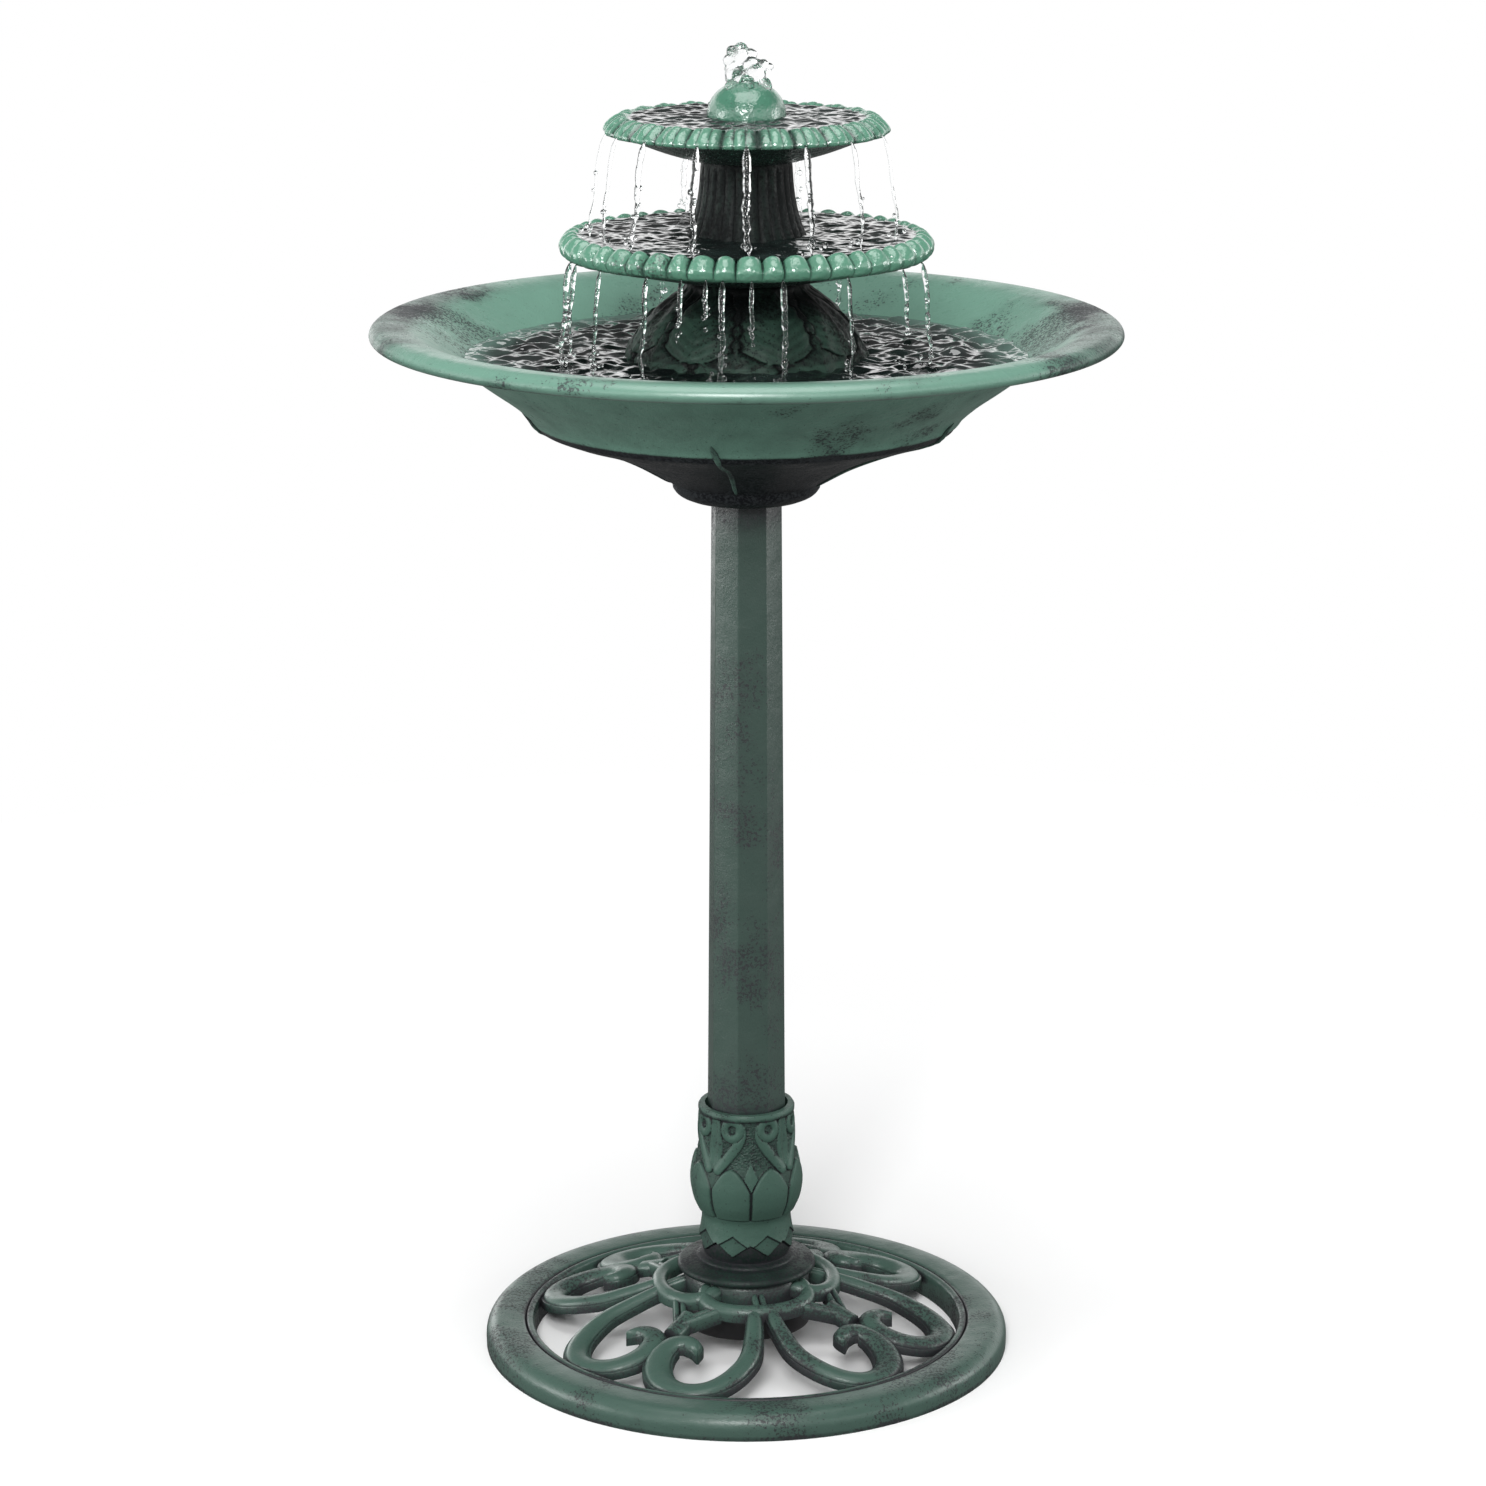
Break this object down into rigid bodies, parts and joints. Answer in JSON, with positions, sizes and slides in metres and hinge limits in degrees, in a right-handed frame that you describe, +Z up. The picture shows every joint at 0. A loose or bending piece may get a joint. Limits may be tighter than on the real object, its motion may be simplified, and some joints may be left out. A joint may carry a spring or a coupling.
{
  "type": "garden water fountain",
  "caption": "Pedestal garden fountain: openwork scroll foot, leaf collar, octagonal column, wide basin with a pump under a domed cover, and scalloped dishes above.",
  "frame": {"origin": "centre of the foot, on the ground", "axes": "+Z up along the column, -Y is the front, +X is to the right seen from the front"},
  "size_m": [0.559, 0.559, 0.9866],
  "materials": {
    "green_resin": "moulded resin, sponged dark patina over grey-green",
    "verdigris_resin": "moulded resin, bright verdigris with dark sponged patches",
    "dark_resin": "moulded resin, nearly black wash over green, wet",
    "black_plastic": "moulded, fine texture",
    "zinc_steel": "zinc plated",
    "rubber": "matt",
    "filter_foam": "open-cell foam",
    "ceramic": "ground ceramic",
    "rotor_magnet": "plastic over a magnet core"
  },
  "bodies": {
    "pedestal": {"foot_openwork": "green_resin", "clamp_cup": "black_plastic", "foot_bolt": "zinc_steel", "foot_washer": "zinc_steel", "foot_plug": "black_plastic", "leaf_collar": "green_resin", "column": "green_resin", "top_plug": "black_plastic", "basin": "verdigris_resin", "basin_seal": "rubber", "basin_nut": "black_plastic", "cord_grommet": "rubber", "pump_body": "black_plastic", "volute_cover": "black_plastic", "intake_grille": "black_plastic", "filter_sponge": "filter_foam", "rotor_shaft": "ceramic", "cord_gland": "rubber", "suction_foot_1": "rubber", "suction_foot_2": "rubber", "suction_foot_3": "rubber", "suction_foot_4": "rubber", "riser_tube": "black_plastic"},
    "dish_stack": {"pump_cover": "dark_resin", "middle_dish": "verdigris_resin", "middle_grommet": "rubber", "fluted_stem": "dark_resin", "top_dish": "verdigris_resin", "top_grommet": "rubber", "finial": "verdigris_resin", "nozzle": "verdigris_resin"},
    "rotor": {"impeller": "rotor_magnet"},
    "knob": {"flow_knob": "black_plastic"}
  },
  "joints": [
    {"name": "stack_lift", "type": "slide", "parent": "pedestal", "child": "dish_stack", "axis": [0, 0, 1], "range_m": [0, 0.26]},
    {"name": "rotor_spin", "type": "hinge", "parent": "pedestal", "child": "rotor", "pos_m": [0, 0.02, 0.7385], "axis": [0, 1, 0], "continuous": true},
    {"name": "knob_turn", "type": "hinge", "parent": "pedestal", "child": "knob", "pos_m": [0.015, -0.0383, 0.751], "axis": [0, 1, 0], "range_deg": [0, 90]}
  ]
}
